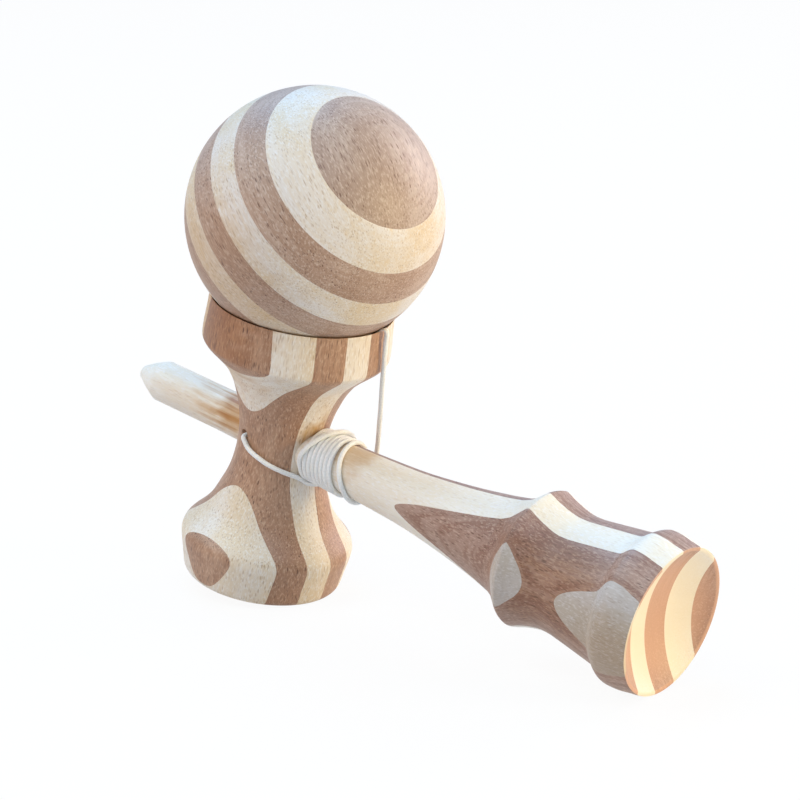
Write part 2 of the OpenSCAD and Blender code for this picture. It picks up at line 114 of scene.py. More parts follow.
# Sizes of the cross piece
BIG_RIM_Z, BIG_RIM_R, BIG_CUP_R, BIG_SHOULDER_Z = 34.3, 21.7, 22.15, 23.4
LIP_WIDTH, SLOPE_WIDTH, BIG_HOLLOW_DEPTH = 0.1, 1, 14
SMALL_RIM_Z, SMALL_RIM_R, SMALL_CUP_R, SMALL_RIDGE_Z = 35.2, 18.3, 20.45, 25.5
SMALL_HOLLOW_R, SMALL_HOLLOW_DEPTH = 16.3, 8
WAIST_R = 10.35
KNOT_RISE, KNOT_HOLE_TURN, KNOT_HOLE_R, POCKET_R = 1.5, math.radians(-110), 1.2, 1.8
KNOT_MOUTH_DEPTH = 0.3
SEAT_FRONT, SEAT_BACK = 14, 12
SEAT_R, SPIKE_ROOT_R = 5.55, 5.1375
FIT_GAP = 0.05
# The visible slope of the big cup lies a little nearer to the ball than the solid's: offsets in
# radius and height of its upper and its lower edge
SLOPE_TOP_OFF, SLOPE_LOW_OFF = (-0.06, 0.03), (0.1, 0.18)
SMALL_LIP_EDGE = 0.2

# Sizes of the handle
SPIKE_LEN, SPIKE_R, TIP_R, TIP_LEN, TIP_MID_R = 44.7, 5, 1.6, 6.5, 3.43
TIP_BEVEL, TIP_BEVEL_LEN, SHOULDER_BEVEL, SHOULDER_BEVEL_LEN = 0.15, 0.12, 0.12, 0.2
SPIKE_RINGS_X = -36
BULGE_X, BULGE_R, GRIP_END_X, GRIP_R = 77, 16.4, 70, 11.8
NECK_X, NECK_R, COLLAR_X, COLLAR_ROOT_R = 86, 14, 102.5, 16.4
BASE_CUP_R, BASE_RIM_R, BASE_HOLLOW_R, BASE_HOLLOW_DEPTH = 18.5, 17.65, 16.9, 6.2

# Fineness of the turned bodies: bevel of a small hole's edge, steps between two points of an
# outline, and the radius below which a point counts as on the axis
EDGE = 0.25
OUTLINE_STEPS = 6
ON_AXIS = 1e-6

# Outline shares: share of the length, share of the step in radius
BIG_FLANK = [(0, 0), (0.17, 0.03), (0.34, 0.098), (0.47, 0.182), (0.6, 0.286), (0.725, 0.435),
             (0.81, 0.585), (0.895, 0.77), (0.96, 0.915), (1, 0.978)]
SMALL_FLANK = [(0, 0), (0.157, 0.015), (0.314, 0.074), (0.431, 0.158), (0.549, 0.277),
               (0.667, 0.406), (0.745, 0.525), (0.824, 0.685), (0.902, 0.871), (0.953, 0.963),
               (1, 1)]
BIG_WALL = [(0.04, 0.12), (0.11, 0), (0.3, 0.04), (0.6, 0.5), (0.93, 0.95), (1, 1.12)]
SMALL_WALL = [(0.06, -0.01), (0.2, 0.07), (0.55, 0.4), (0.86, 0.68), (0.95, 0.83), (1, 1)]
FLARE = [(0, 0), (0.25, 0.094), (0.46, 0.205), (0.6, 0.345), (0.75, 0.54), (0.89, 0.77),
         (0.96, 0.91), (1, 1)]
BULGE_FRONT = [(0, 0), (0.3, 0.21), (0.45, 0.37), (0.6, 0.56), (0.75, 0.75), (0.88, 0.92), (1, 1)]
BULGE_BACK = [(0, 0), (0.12, 0.15), (0.24, 0.34), (0.38, 0.52), (0.6, 0.75), (0.82, 0.93), (1, 1)]
NECK = [(0.15, 0.05), (0.4, 0.31), (0.7, 0.64), (0.9, 0.86), (1, 1)]
COLLAR = [(0.06, 0.18), (0.15, 0.6), (0.24, 0.9), (0.33, 1.01), (0.48, 1)]
BASE_WALL = [(0.6, 0.14), (0.8, 0.62), (0.94, 0.88), (1, 1.1)]

# Boards: normal towards the front board, thickness and glue lines in thicknesses
BALL_BOARDS = dict(tilt=40.5, turn=-6, thickness=7.3,
                   lines=[3.36, 2.36, 1.36, 0.36, -0.64, -1.64, -2.64, -3.64])
CROSS_BOARDS = dict(tilt=90, turn=-97.5, thickness=6.95, lines=[2.7, 1.7, 0.7, -0.3, -1.3, -2.3])
HANDLE_BOARDS = dict(tilt=90, turn=-91.26, thickness=6.8, lines=[1.86, 0.88, -0.19, -1.19, -2.19])


def direction(tilt_angle, turn_angle):
    flat = math.sin(tilt_angle)
    return Vector((flat * math.cos(turn_angle), flat * math.sin(turn_angle), math.cos(tilt_angle)))


HOLE_DIR = direction(BALL_HOLE_TILT, BALL_HOLE_TURN)
SEAT_TOP_R = BIG_RIM_R - LIP_WIDTH
BALL_Z = BIG_RIM_Z - SEAT_TOP_R + math.sqrt(2) * (BALL_R + BALL_GAP)
BALL_CENTRE = Vector((-BALL_ASIDE, 0, BALL_Z))
BEAD_Z = BALL_HOLE_FLOOR + BEAD_R + BEAD_GAP
END_KNOT_Z = BEAD_Z + BEAD_R + KNOT_R
BEAD_ROOM_Z = END_KNOT_Z + KNOT_R + 2 * BEAD_GAP
KNOT_AT = SPIKE_ROOT_R + KNOT_R + 2 * BEAD_GAP


def smooth(points, steps):
    """A smooth curve through the points, with so many steps between two of them."""
    pts = [Vector(p) for p in points]
    last = len(pts) - 1
    out = []
    for i in range(last):
        a, b, c, d = pts[max(i - 1, 0)], pts[i], pts[i + 1], pts[min(i + 2, last)]
        for k in range(steps):
            t = k / steps
            out.append(0.5 * (2 * b + (c - a) * t + (2 * a - 5 * b + 4 * c - d) * t * t
                              + (3 * b - a - 3 * c + d) * t ** 3))
    out.append(pts[last])
    return out


def stretch(shares, from_z, to_z, from_r, to_r):
    return [(from_r + r * (to_r - from_r), from_z + z * (to_z - from_z)) for z, r in shares]


# The shaft from the seat to the grip, which the winding follows too
SHAFT = smooth(stretch(FLARE, SEAT_FRONT, GRIP_END_X, SEAT_R, GRIP_R), 2 * OUTLINE_STEPS)


def arc(centre, radii, start, end, steps):
    """Points of an ellipse's arc from one angle to another, in degrees."""
    angles = [math.radians(start + (end - start) * k / steps) for k in range(steps + 1)]
    return [Vector((centre[0] + radii[0] * math.cos(a), centre[1] + radii[1] * math.sin(a)))
            for a in angles]


def wall(r, from_h, to_h, rings):
    """Points of a straight wall at one radius, at even heights."""
    return [Vector((r, h)) for h in np.linspace(from_h, to_h, rings)]


def turned_to(way):
    """The rotation that turns the Z axis to a direction."""
    return way.to_track_quat("Z", "Y").to_matrix().to_4x4()


def turned(outline, segments, closed=False):
    """A bmesh turned from an outline of (radius, height) points round the Z axis."""
    bm = bmesh.new()
    rows = []
    for r, h in outline:
        if r < ON_AXIS:
            rows.append([bm.verts.new((0, 0, h))] * segments)
        else:
            rows.append([bm.verts.new((r * math.cos(2 * math.pi * k / segments),
                                       r * math.sin(2 * math.pi * k / segments), h))
                         for k in range(segments)])
    pairs = list(zip(rows, rows[1:])) + ([(rows[-1], rows[0])] if closed else [])
    for low, high in pairs:
        for k in range(segments):
            n = (k + 1) % segments
            corners = []
            for v in (low[k], low[n], high[n], high[k]):
                if v not in corners:
                    corners.append(v)
            bm.faces.new(corners)
    bmesh.ops.recalc_face_normals(bm, faces=bm.faces)
    return bm


def ball_mesh():
    """The ball with its hole, its mouth towards +Z and the string's hole at the other end."""
    mouth_r = BALL_HOLE_R + BALL_HOLE_BEVEL
    start = math.degrees(math.asin((BALL_STRING_HOLE_R + EDGE) / BALL_R)) - 90
    end = math.degrees(math.acos(mouth_r / BALL_R))
    mouth_z = math.sqrt(BALL_R ** 2 - mouth_r ** 2)
    wall_z = mouth_z - 3 * BALL_HOLE_BEVEL
    low_z = -math.sqrt(BALL_R ** 2 - (BALL_STRING_HOLE_R + EDGE) ** 2)
    outline = arc((0, 0), (BALL_R, BALL_R), start, end, steps=110)
    outline += arc((mouth_r, mouth_z - BALL_HOLE_BEVEL), (BALL_HOLE_BEVEL, BALL_HOLE_BEVEL),
                   100, 180, steps=5)
    outline += wall(BALL_HOLE_R, wall_z, BEAD_ROOM_Z, rings=18)
    outline += [Vector((BEAD_ROOM_R + EDGE, BEAD_ROOM_Z))]
    outline += wall(BEAD_ROOM_R, BEAD_ROOM_Z - EDGE, BALL_HOLE_FLOOR, rings=8)
    outline += [Vector((BALL_STRING_HOLE_R + EDGE, BALL_HOLE_FLOOR))]
    outline += wall(BALL_STRING_HOLE_R, BALL_HOLE_FLOOR - EDGE, low_z + 1.5 * EDGE, rings=12)
    bm = turned(outline, segments=224, closed=True)
    place = Matrix.Translation(BALL_CENTRE) @ turned_to(HOLE_DIR)
    bmesh.ops.transform(bm, matrix=place, verts=bm.verts)
    return bm


def cross_mesh():
    """The cross piece with its hollows, without the handle's hole."""
    small_lip = (SMALL_RIM_R + SMALL_HOLLOW_R) / 2
    outline = arc((0, -SMALL_RIM_Z), (SMALL_HOLLOW_R, SMALL_HOLLOW_DEPTH), 90, 1, steps=40)
    outline += [Vector((SMALL_HOLLOW_R + SMALL_LIP_EDGE, -SMALL_RIM_Z)),
                Vector((small_lip, -SMALL_RIM_Z))]
    for shares, from_z, to_z, from_r, to_r in (
            (SMALL_WALL, -SMALL_RIDGE_Z, -SMALL_RIM_Z, SMALL_CUP_R, SMALL_RIM_R),
            (SMALL_FLANK, 0, -SMALL_RIDGE_Z, WAIST_R, SMALL_CUP_R)):
        outline += smooth(stretch(shares, from_z, to_z, from_r, to_r), OUTLINE_STEPS)[::-1]
    outline += smooth(stretch(BIG_FLANK, 0, BIG_SHOULDER_Z, WAIST_R, BIG_CUP_R),
                      OUTLINE_STEPS)[1:]
    outline += smooth(stretch(BIG_WALL, BIG_SHOULDER_Z, BIG_RIM_Z, BIG_CUP_R, BIG_RIM_R),
                      OUTLINE_STEPS)
    seat_low_r, seat_low_z = SEAT_TOP_R - SLOPE_WIDTH, BIG_RIM_Z - SLOPE_WIDTH
    outline += [Vector((SEAT_TOP_R + SLOPE_TOP_OFF[0], BIG_RIM_Z + SLOPE_TOP_OFF[1])),
                Vector((seat_low_r + SLOPE_LOW_OFF[0], seat_low_z + SLOPE_LOW_OFF[1]))]
    outline += arc((0, seat_low_z), (seat_low_r, BIG_HOLLOW_DEPTH), -1, -90, steps=48)
    return turned(outline, segments=256)


def handle_mesh():
    """The handle, with its axis along Z and its base upwards."""
    outline = [Vector((0, -SPIKE_LEN)), Vector((TIP_R - TIP_BEVEL, -SPIKE_LEN))]
    outline += smooth([(TIP_R, TIP_BEVEL_LEN - SPIKE_LEN), (TIP_MID_R, TIP_LEN / 2 - SPIKE_LEN),
                       (SPIKE_R - SHOULDER_BEVEL, TIP_LEN - SHOULDER_BEVEL_LEN - SPIKE_LEN)],
                      OUTLINE_STEPS)
    outline += [Vector((SPIKE_R, TIP_LEN + TIP_BEVEL - SPIKE_LEN))]
    outline += wall(SPIKE_R, SPIKE_RINGS_X, -SEAT_BACK - TIP_LEN, rings=12)
    outline += [Vector((SPIKE_ROOT_R, -SEAT_BACK))] + SHAFT
    for shares, from_x, to_x, from_r, to_r in (
            (BULGE_FRONT, GRIP_END_X, BULGE_X, GRIP_R, BULGE_R),
            (BULGE_BACK, BULGE_X, NECK_X, BULGE_R, NECK_R)):
        outline += smooth(stretch(shares, from_x, to_x, from_r, to_r), OUTLINE_STEPS)[1:]
    outline += smooth(stretch(NECK, NECK_X, COLLAR_X, NECK_R, COLLAR_ROOT_R), OUTLINE_STEPS)
    outline += smooth(stretch(COLLAR, COLLAR_X, HANDLE_LEN, COLLAR_ROOT_R, BASE_CUP_R)
                      + stretch(BASE_WALL, COLLAR_X, HANDLE_LEN, BASE_CUP_R, BASE_RIM_R),
                      OUTLINE_STEPS)
    bowl_r = (BASE_HOLLOW_R ** 2 + BASE_HOLLOW_DEPTH ** 2) / (2 * BASE_HOLLOW_DEPTH)
    half = math.degrees(math.asin(BASE_HOLLOW_R / bowl_r))
    outline += arc((0, HANDLE_LEN + bowl_r - BASE_HOLLOW_DEPTH), (bowl_r, bowl_r),
                   half - 90, -90, steps=36)
    return turned(outline, segments=224)


def mesh_object(bm, name, matrix=TO_ROW):
    """Makes an object of a bmesh, which is moved into the row frame."""
    mesh = bpy.data.meshes.new(name)
    bmesh.ops.transform(bm, matrix=matrix, verts=bm.verts)
    bm.to_mesh(mesh)
    bm.free()
    obj = bpy.data.objects.new(name, mesh)
    bpy.context.scene.collection.objects.link(obj)
    return obj


def cut(obj, tools):
    """Cuts the tools' bodies out of an object and returns the result as a bmesh in millimetres."""
    for tool in tools:
        modifier = obj.modifiers.new("cut", "BOOLEAN")
        modifier.operation = "DIFFERENCE"
        modifier.solver = "EXACT"
        modifier.object = tool
    graph = bpy.context.evaluated_depsgraph_get()
    bm = bmesh.new()
    bm.from_mesh(obj.evaluated_get(graph).to_mesh())
    for used in [obj] + tools:
        bpy.data.objects.remove(used)
    return bm


def drill_cross(bm):
    """Cuts the handle's tapered hole and the string's hole through the waist."""
    still = Matrix.Identity(4)
    slope = (SEAT_R - SPIKE_ROOT_R) / (SEAT_FRONT + SEAT_BACK)
    reach = 5
    back, front = -SEAT_BACK - reach, SEAT_FRONT + reach
    bore = turned([(0, back), (SPIKE_ROOT_R + FIT_GAP - reach * slope, back),
                   (SEAT_R + FIT_GAP + reach * slope, front), (0, front)], segments=96)
    bmesh.ops.transform(bore, matrix=Matrix.Rotation(math.pi / 2, 4, "Y"), verts=bore.verts)
    mouth_r = KNOT_HOLE_R + EDGE
    shank = [Vector(p) for p in ((KNOT_HOLE_R, WAIST_R - KNOT_MOUTH_DEPTH), (mouth_r, WAIST_R),
                                 (mouth_r, 2 * WAIST_R), (0, 2 * WAIST_R))]
    pin = turned(arc((0, KNOT_AT), (POCKET_R, POCKET_R), -90, 48, steps=12) + shank, segments=40)
    out = turned_to(direction(math.pi / 2, KNOT_HOLE_TURN))
    bmesh.ops.transform(pin, matrix=Matrix.Translation((0, 0, KNOT_RISE)) @ out, verts=pin.verts)
    body = mesh_object(bm, "cross_blank", still)
    return cut(body, [mesh_object(bore, "bore", still), mesh_object(pin, "pin", still)])


def trim(bm, point, normal):
    """Cuts away what lies on the normal's side of a plane and closes the cut."""
    geom = bm.verts[:] + bm.edges[:] + bm.faces[:]
    found = bmesh.ops.bisect_plane(bm, geom=geom, dist=1e-5, plane_co=point, plane_no=normal,
                                   clear_outer=True)
    edges = [e for e in found["geom_cut"] if isinstance(e, bmesh.types.BMEdge) and e.is_valid]
    if edges:
        bmesh.ops.triangle_fill(bm, use_beauty=True, use_dissolve=False, edges=edges)


def board(bm, boards, i, side=None):
    """The part of a turned body between two glue lines, on one side of a plane if one is given."""
    normal = direction(math.radians(boards["tilt"]), math.radians(boards["turn"]))
    origin = boards.get("origin", Vector((0, 0, 0)))
    piece = bm.copy()
    if side is not None:
        trim(piece, side[0], side[1])
    if i > 0:
        trim(piece, origin + normal * boards["lines"][i - 1] * boards["thickness"], normal)
    if i < len(boards["lines"]):
        trim(piece, origin + normal * boards["lines"][i] * boards["thickness"], -normal)
    bmesh.ops.recalc_face_normals(piece, faces=piece.faces)
    return piece


def srgb(red, green, blue):
    """An eight-bit sRGB colour as the linear colour that a shader takes."""
    out = []
    for value in (red, green, blue):
        c = value / 255
        out.append(c / 12.92 if c <= 0.04045 else ((c + 0.055) / 1.055) ** 2.4)
    return (*out, 1)


class Nodes:
    """Small helper that adds nodes to a tree and links their sockets."""

    def __init__(self, tree):
        self.tree = tree

    def add(self, kind, **settings):
        node = self.tree.nodes.new(kind)
        for key, value in settings.items():
            setattr(node, key, value)
        return node

    def feed(self, socket, value):
        if isinstance(value, bpy.types.NodeSocket):
            self.tree.links.new(value, socket)
        elif value is not None:
            socket.default_value = value

    def math(self, operation, a, b=None):
        node = self.add("ShaderNodeMath", operation=operation)
        self.feed(node.inputs[0], a)
        self.feed(node.inputs[1], b)
        return node.outputs[0]

    def ramp(self, value, low, high, to_low=0.0, to_high=1.0):
        node = self.add("ShaderNodeMapRange", interpolation_type="SMOOTHSTEP")
        for socket, number in zip(node.inputs, (value, low, high, to_low, to_high)):
            self.feed(socket, number)
        return node.outputs[0]

    def vector_math(self, operation, a, b, output="Vector"):
        node = self.add("ShaderNodeVectorMath", operation=operation)
        self.feed(node.inputs[0], a)
        self.feed(node.inputs[1], b)
        return node.outputs[output]

    def scaled(self, vector, scale):
        return self.vector_math("MULTIPLY", vector, scale)

    def shifted(self, vector, shift):
        return self.vector_math("ADD", vector, shift)

    def dot(self, vector, axis):
        return self.vector_math("DOT_PRODUCT", vector, axis, "Value")

    def distance(self, vector, point):
        return self.vector_math("DISTANCE", vector, point, "Value")

    def noise(self, vector, scale=1.0, detail=2.0, rough=0.5, distortion=0.0):
        node = self.add("ShaderNodeTexNoise")
        self.feed(node.inputs["Vector"], vector)
        for name, value in (("Scale", scale), ("Detail", detail), ("Roughness", rough),
                            ("Distortion", distortion)):
            self.feed(node.inputs[name], value)
        return node.outputs["Fac"]

    def cells(self, vector):
        node = self.add("ShaderNodeTexVoronoi", feature="F1")
        self.feed(node.inputs["Vector"], vector)
        self.feed(node.inputs["Scale"], 1.0)
        return node.outputs["Distance"], node.outputs["Color"]

    def mix(self, factor, a, b, blend="MIX"):
        node = self.add("ShaderNodeMix", data_type="RGBA", blend_type=blend)
        # The node's colours are at sockets 6 and 7, and its mixed colour at output 2
        for socket, value in ((0, factor), (6, a), (7, b)):
            self.feed(node.inputs[socket], value)
        return node.outputs[2]

    def blend(self, output, share, first, second):
        node = self.add("ShaderNodeMixShader")
        for socket, value in zip(node.inputs, (share, first.outputs[0], second.outputs[0])):
            self.feed(socket, value)
        self.feed(output.inputs[0], node.outputs[0])

    def bump(self, shader, height, strength, relief):
        node = self.add("ShaderNodeBump")
        self.feed(node.inputs["Strength"], strength)
        self.feed(node.inputs["Distance"], relief * MM)
        self.feed(node.inputs["Height"], height)
        self.feed(shader.inputs["Normal"], node.outputs[0])


def new_material(name):
    material = bpy.data.materials.new(name)
    material.use_nodes = True
    material.node_tree.nodes.clear()
    nodes = Nodes(material.node_tree)
    shader = nodes.add("ShaderNodeBsdfPrincipled")
    output = nodes.add("ShaderNodeOutputMaterial")
    material.node_tree.links.new(shader.outputs[0], output.inputs[0])
    return material, nodes, shader


# Bamboo's colours: the board, its darker strands, its pores and strokes, and the pale specks,
# which are painted glints on raised fibres
DARK = dict(slot="bamboo_dark", base=srgb(187, 157, 137), deep=srgb(161, 124, 98),
            pore=srgb(110, 74, 52), pale=srgb(211, 189, 172), layers=0.5, strokes=0.9, stipple=0.85)
# The ball's dark cap is painted paler and greyer: a painted sheen of the sky's reflection
CAP_DARK_PAINTED_SHEEN = dict(DARK, base=srgb(188, 165, 150), deep=srgb(162, 132, 112))
CROSS_DARK = dict(DARK, base=srgb(185, 145, 116), deep=srgb(156, 111, 80), pale=srgb(210, 176, 148),
                  strokes=1.0)
# The handle's dark board; its end tone is painted warm light on the faces across its fibres
HANDLE_DARK = dict(DARK, base=srgb(170, 138, 122), deep=srgb(138, 96, 76), pale=srgb(200, 172, 154),
                   layers=0.75, end=srgb(222, 172, 140))
LIGHT = dict(slot="bamboo_light", base=srgb(225, 215, 206), deep=srgb(216, 188, 142),
             pore=srgb(172, 138, 104), pale=srgb(235, 231, 230), layers=0.2, strokes=0.6,
             stipple=0.65)
CROSS_LIGHT = dict(LIGHT, base=srgb(236, 225, 211), deep=srgb(224, 199, 160),
                   pore=srgb(178, 144, 108), pale=srgb(246, 241, 237))
# The handle's light boards are painted whiter, as painted light for their tops lit from above,
# and its islands at the front, of the same light wood, are painted greyer, as painted shade
WHITE_PAINTED_LIT = dict(LIGHT, base=srgb(243, 238, 228), deep=srgb(236, 222, 200), pore=srgb(203, 179, 151),
             pale=srgb(246, 242, 242), strokes=0.3, stipple=0.35, end=srgb(242, 226, 196))
GREY_PAINTED_SHADE = dict(LIGHT, base=srgb(192, 183, 177), deep=srgb(178, 163, 145), pore=srgb(146, 122, 102),
            pale=srgb(210, 204, 202), strokes=0.3, stipple=0.4, end=WHITE_PAINTED_LIT["end"])

# Scales of the grain's features, per millimetre along the fibres, across them and through the
# boards: broad clouds, strands, thin layers parallel to the boards, patches that carry strokes,
# clusters of fibre ends, their dense stipple, sparse darker strokes and raised specks, which
# are painted pale as glints
GRAIN = dict(broad=(0.02, 0.07, 0.07), strands=(0.05, 0.5, 0.5), layers=(0.05, 0.1, 1.5),
             patches=(0.05, 0.11, 0.11), clusters=(0.12, 0.4, 0.4), stipple=(0.35, 2.5, 2.5),
             strokes=(0.3, 1.25, 1.25), specks=(0.8, 2.6, 2.6))
GRAIN_SHIFT = 200
# Ramps of the grain: the two values that a feature runs between, and what it gives there, which
# is 0 and 1 where nothing is said. A board's tones say what its layers give
# The ends ramp picks the faces across the fibres for the painted warm light of the end tone
RAMPS = dict(tone=(0.25, 0.7, 0.35, 1), dots=(0.48, 0.14), clusters=(0.35, 0.6, 0.4, 1),
             marks=(0.3, 0.14), patches=(0.45, 0.62), broad=(0.38, 0.68, 0, 0.75),
             strands=(0.5, 0.72, 0, 0.45), layers=(0.44, 0.6), specks=(0.48, 0.68, 0, 0.6),
             ends=(0.6, 0.95), roughness=(0.3, 0.8, 0.5, 0.6))
# How a cell's random colour becomes one number, and the number over which a cell has a stroke
CELL_TONE, CELL_CHANCE, STROKE_OVER = (0.5, 0.3, 0.2), (0.6, 0.3, 0.1), 0.5
# The share of the end tone, the painted warm light, that the faces across the fibres take
PAINTED_LIGHT_END_SHARE = 0.75
# Strength of the bump, the height that it stands for in millimetres, and the shares of it that
# the specks raise and the pores lower
WOOD_BUMP, WOOD_RELIEF, SPECK_RISE, PORE_DEPTH = 0.25, 0.1, 0.5, 0.6


def bamboo(name, tones, fibre, normal, seed, stain_and_painted_light=None):
    """Bamboo with its fibres along one direction and its boards stacked along another."""
    material, nodes, shader = new_material(name)
    rng = random.Random(seed)
    fibre = (tilt.to_3x3() @ fibre).normalized()
    normal = (tilt.to_3x3() @ normal).normalized()
    across = fibre.cross(normal)
    place = nodes.add("ShaderNodeTexCoord").outputs["Object"]
    millimetres = nodes.scaled(place, (1 / MM,) * 3)
    grain = nodes.add("ShaderNodeCombineXYZ")
    for socket, axis in zip(grain.inputs, (fibre, across, normal)):
        nodes.feed(socket, nodes.dot(millimetres, axis[:]))
    shift = [rng.uniform(-GRAIN_SHIFT, GRAIN_SHIFT) for _ in range(3)]
    grain = nodes.shifted(grain.outputs[0], shift)
    at = {feature: nodes.scaled(grain, scale) for feature, scale in GRAIN.items()}
    broad = nodes.noise(at["broad"])
    strands = nodes.noise(at["strands"], detail=3, rough=0.6, distortion=0.4)
    layers = nodes.noise(at["layers"], rough=0.6, distortion=0.3)
    patches = nodes.noise(at["patches"], detail=1)
    clusters = nodes.noise(at["clusters"])
    # Each cell of the stipple has its own strength, and only some cells carry a stroke
    dots, tone = nodes.cells(at["stipple"])
    tone = nodes.ramp(nodes.dot(tone, CELL_TONE), *RAMPS["tone"])
    stipple = nodes.math("MULTIPLY", nodes.ramp(dots, *RAMPS["dots"]), tone)
    stipple = nodes.math("MULTIPLY", stipple, nodes.ramp(clusters, *RAMPS["clusters"]))
    marks, chance = nodes.cells(at["strokes"])
    chance = nodes.math("GREATER_THAN", nodes.dot(chance, CELL_CHANCE), STROKE_OVER)
    strokes = nodes.math("MULTIPLY", nodes.ramp(marks, *RAMPS["marks"]), chance)
    strokes = nodes.math("MULTIPLY", strokes, nodes.ramp(patches, *RAMPS["patches"]))
    specks = nodes.noise(at["specks"], rough=0.6)
    # The board's colour, with each feature laid over what lies below it
    colour = tones["base"]
    # The specks are painted in the pale tone: painted glints on raised fibres
    for feature, ramp, tint in (
            (broad, RAMPS["broad"], "deep"), (strands, RAMPS["strands"], "deep"),
            (layers, (*RAMPS["layers"], 0, tones["layers"]), "deep"),
            (specks, RAMPS["specks"], "pale")):
        colour = nodes.mix(nodes.ramp(feature, *ramp), colour, tones[tint])
    for feature, strength in ((stipple, tones["stipple"]), (strokes, tones["strokes"])):
        colour = nodes.mix(nodes.math("MULTIPLY", feature, strength), colour, tones["pore"])
    # Faces across the fibres, chiefly the base cup's bowl, are painted lighter and warmer: painted
    # warm light
    if "end" in tones:
        facing = nodes.dot(nodes.add("ShaderNodeTexCoord").outputs["Normal"], fibre[:])
        ends = nodes.ramp(nodes.math("ABSOLUTE", facing), *RAMPS["ends"])
        colour = nodes.mix(nodes.math("MULTIPLY", ends, PAINTED_LIGHT_END_SHARE), colour, tones["end"])
    if stain_and_painted_light:
        colour = stained_and_painted_light(nodes, colour, place, grain, stain_and_painted_light)
    nodes.feed(shader.inputs["Base Color"], colour)
    nodes.feed(shader.inputs["Roughness"], nodes.ramp(specks, *RAMPS["roughness"]))
    shader.inputs["Specular IOR Level"].default_value = 0.5
    shader.inputs["Coat Weight"].default_value = 0.35
    shader.inputs["Coat Roughness"].default_value = 0.45
    pores = nodes.math("MULTIPLY", nodes.math("MAXIMUM", stipple, strokes), PORE_DEPTH)
    height = nodes.math("SUBTRACT", nodes.math("MULTIPLY", specks, SPECK_RISE), pores)
    nodes.bump(shader, height, WOOD_BUMP, WOOD_RELIEF)
    return material


# Colour of the staining and of the painted shade and warm light, the share of a patch's reach
# that is full, how ragged its edge is as a share of its reach, the scales of that edge's waves,
# per metre, and of its streaks, per millimetre, and the values that the streaks run between
STAIN_AND_PAINTED_LIGHT, STAIN_AND_PAINTED_LIGHT_FULL, STAIN_AND_PAINTED_LIGHT_RAGGED = srgb(214, 170, 96), 0.35, 0.8
STAIN_AND_PAINTED_LIGHT_WAVES, STAIN_AND_PAINTED_LIGHT_STREAKS, STREAK_RAMP = (160, 420, 420), (0.035, 0.9, 0.9), (0.4, 0.6)


def stained_and_painted_light(nodes, colour, place, grain, stains_and_painted_light):
    """Honey-coloured staining, painted shade and painted warm light round points of the toy's own
    frame, in streaks along the fibres.
    """
    waves = nodes.noise(nodes.scaled(place, STAIN_AND_PAINTED_LIGHT_WAVES))
    streaks = nodes.noise(nodes.scaled(grain, STAIN_AND_PAINTED_LIGHT_STREAKS), detail=3, rough=0.6)
    for centre, reach, strength, streaky in stains_and_painted_light:
        away = nodes.distance(place, row_point(centre)[:])
        ragged = nodes.math("MULTIPLY", nodes.math("SUBTRACT", waves, 0.5),
                            STAIN_AND_PAINTED_LIGHT_RAGGED * reach * MM)
        amount = nodes.ramp(nodes.math("ADD", away, ragged), reach * MM, STAIN_AND_PAINTED_LIGHT_FULL * reach * MM,
                            0, strength)
        streaked = nodes.ramp(streaks, *STREAK_RAMP, 1 - streaky, 1)
        amount = nodes.math("MULTIPLY", amount, streaked)
        colour = nodes.mix(amount, colour, STAIN_AND_PAINTED_LIGHT, "MULTIPLY")
    return colour


X_AXIS, Z_AXIS = Vector((1, 0, 0)), Vector((0, 0, 1))
BALL_FIBRE = Vector((0.76, -0.066, -0.652))
SHARP_WOOD, SHARP_STRING = math.radians(40), math.radians(60)


def shaded(piece, sharp):
    """Shades a piece smooth but for its edges over an angle."""
    piece.data.shade_smooth()
    piece.data.set_sharp_from_angle(angle=sharp)


def dress(bm, node, body, tones, fibre, boards, stain_and_painted_light=None):
    """Makes the visible piece of one board, which stands for its node."""
    piece = mesh_object(bm, node.replace("layer", "board").replace("side", "board"))
    shaded(piece, SHARP_WOOD)
    normal = direction(math.radians(boards["tilt"]), math.radians(boards["turn"]))
    name = "bamboo_" + node
    piece.data.materials.append(bamboo(name, tones, fibre, normal, node, stain_and_painted_light))
    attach(piece, body)
    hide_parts(node)


def shade(i, dark, light):
    """Dark and light boards by turns, from a dark one at the front."""
    return dark if i % 2 == 0 else light


def board_count(boards):
    return len(boards["lines"]) + 1


# Staining, painted shade and painted warm light: centre in the toy's own frame, reach, strength,
# and share of it left to streaks
# Painted warm light and shade: the ball's lower front is tinted darker and yellower
BALL_PAINTED_WARM_SHADE = [((-8, -25, 40), 30, 0.35, 0)]
CUP_STAIN = ((0, 0, 31), 30, 0.22, 0)
# Painted shade: the big cup's wall at the left front is darker and warmer
WALL_PAINTED_SHADE = ((-10, -20, 29), 22, 0.6, 0)
CROSS_STAINS = [((11, -3, 5), 5, 0.8, 0.3), ((10, 4, 8), 7, 0.4, 0.3), CUP_STAIN]
# Staining on the spike by the cross piece and on the shaft by the winding; the last patch, along
# the spike's lower side, is painted warm light
HANDLE_STAINS_AND_WARM_LIGHT = [((-11, -3, 4), 8, 0.95, 0.4), ((-12, -4, 3), 8, 0.6, 0.3),
                 ((-19, -3, 4), 10, 0.5, 0.9), ((23, -2, 5), 8, 0.6, 0.2),
                 ((-28, -3, -5), 16, 0.25, 0.2)]
# Painted shade: the neck's front is darker and warmer, in streaks along the fibres
NECK_PAINTED_SHADE = [((NECK_X + 4, -14, 2), 20, 0.6, 0.3)]
# Painted shade: the lower part of the cup's island at the front is darker and browner
ISLAND_PAINTED_SHADE = [((HANDLE_LEN - 4, -19, -8), 16, 0.35, 0)]
# The boards of the cross piece that are turned through at the waist, and the one with the bore
PARTED_BOARDS, BORE_BOARD = (0, 1, 6), 3


